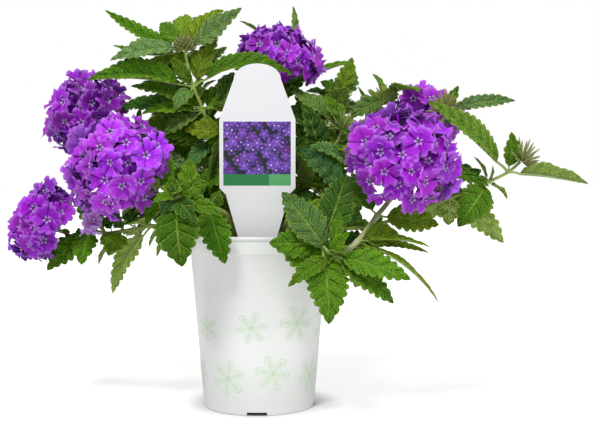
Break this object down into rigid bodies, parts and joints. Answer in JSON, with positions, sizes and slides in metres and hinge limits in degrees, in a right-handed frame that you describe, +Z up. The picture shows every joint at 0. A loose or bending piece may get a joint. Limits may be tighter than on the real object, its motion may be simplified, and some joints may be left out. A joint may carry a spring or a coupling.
{
  "type": "potted verbena",
  "caption": "Bushy verbena with toothed leaves and round heads of violet florets, growing in a tapered plastic nursery pot with an upright stake label.",
  "frame": {"origin": "middle of the pot's flat underside, on the pot's axis", "axes": "+Z up along the pot's axis, -Y towards the side that the stake label faces, +X to that viewer's right"},
  "size_m": [0.4092, 0.2387, 0.3031],
  "materials": {
    "pot_plastic": "white satin plastic with a faint pale green print",
    "label_plastic": "white printed sheet with a violet panel and a green band",
    "potting_mix": "loose dark peat and bark, matt",
    "leaf_green": "matt, wrinkled by its veins and finely hairy",
    "petal_violet": "soft matt petals, paler at their edges and throat"
  },
  "bodies": {
    "root": {"pot": "pot_plastic", "label": "label_plastic", "soil": "potting_mix", "bloom_left_front": "petal_violet", "bloom_left_high": "petal_violet", "bloom_left_low": "petal_violet", "bloom_left_small": "petal_violet", "bloom_right_back": "petal_violet", "bloom_right_front": "petal_violet", "bloom_top": "petal_violet", "shoot_back_left": "leaf_green", "shoot_back_middle": "leaf_green", "shoot_back_right": "leaf_green", "shoot_centre_left": "leaf_green", "shoot_front_left": "leaf_green", "shoot_front_right": "leaf_green", "shoot_left_front": "leaf_green", "shoot_left_high": "leaf_green", "shoot_left_low": "leaf_green", "shoot_middle": "leaf_green", "shoot_middle_high": "leaf_green", "shoot_right_back": "leaf_green", "shoot_right_front": "leaf_green", "shoot_right_high": "leaf_green", "shoot_right_long": "leaf_green", "shoot_right_top": "leaf_green", "shoot_top": "leaf_green", "shoot_top_back": "leaf_green", "shoot_upper_left": "leaf_green"}
  },
  "joints": []
}
